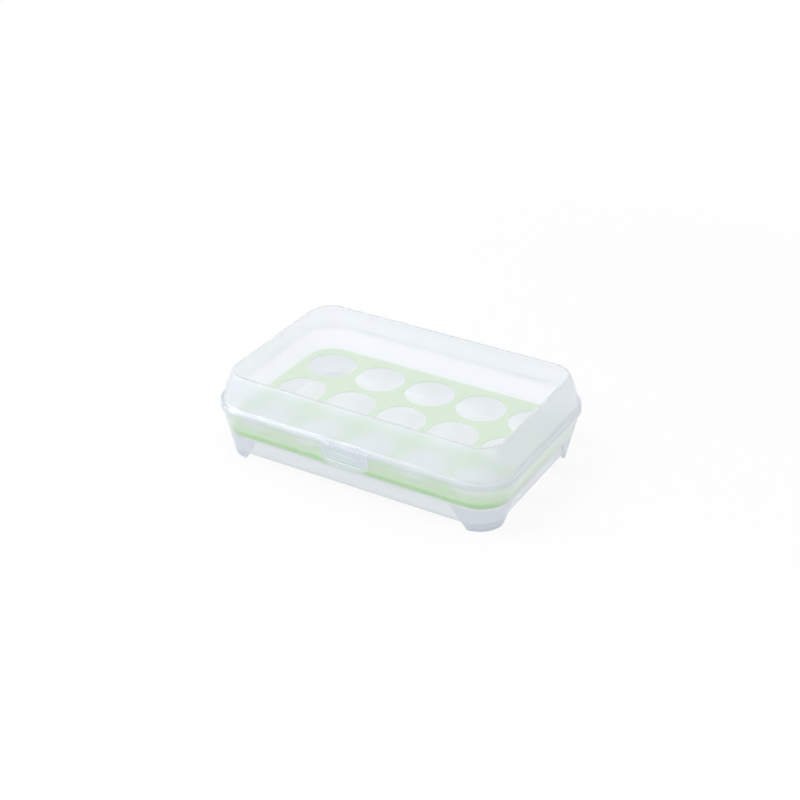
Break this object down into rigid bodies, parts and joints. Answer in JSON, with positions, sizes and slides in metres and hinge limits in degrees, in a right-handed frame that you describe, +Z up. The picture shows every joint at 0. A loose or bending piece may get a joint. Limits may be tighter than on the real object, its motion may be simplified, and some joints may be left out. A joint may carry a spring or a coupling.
{
  "type": "egg storage box",
  "caption": "Footed egg storage box with a frosted base, a lift-out tray of round egg seats, a clear hinged lid and a front snap latch.",
  "frame": {"origin": "centre of the box at the plane of its feet", "axes": "+X along the length, -Y towards the latch at the front, +Z up"},
  "size_m": [0.2572, 0.1724, 0.072],
  "materials": {
    "frosted_polypropylene": "frosted translucent moulded polypropylene",
    "green_polypropylene": "satin light green moulded polypropylene",
    "clear_polypropylene": "clear polished top panel and lightly frosted walls",
    "latch_polypropylene": "glossy clear moulded polypropylene"
  },
  "bodies": {
    "base": {"base": "frosted_polypropylene"},
    "egg_tray": {"egg_tray": "green_polypropylene"},
    "lid": {"lid": "clear_polypropylene"},
    "latch": {"latch": "latch_polypropylene"}
  },
  "joints": [
    {"name": "lid_hinge", "type": "hinge", "parent": "base", "child": "lid", "pos_m": [0, 0.08471, 0.0441], "axis": [-1, 0, 0], "range_deg": [0, 110]},
    {"name": "latch_pivot", "type": "hinge", "parent": "lid", "child": "latch", "pos_m": [0, -0.08471, 0.0464], "axis": [-1, 0, 0], "range_deg": [0, 120]},
    {"name": "tray_lift", "type": "slide", "parent": "base", "child": "egg_tray", "axis": [0, 0, 1], "range_m": [0, 0.02]}
  ]
}
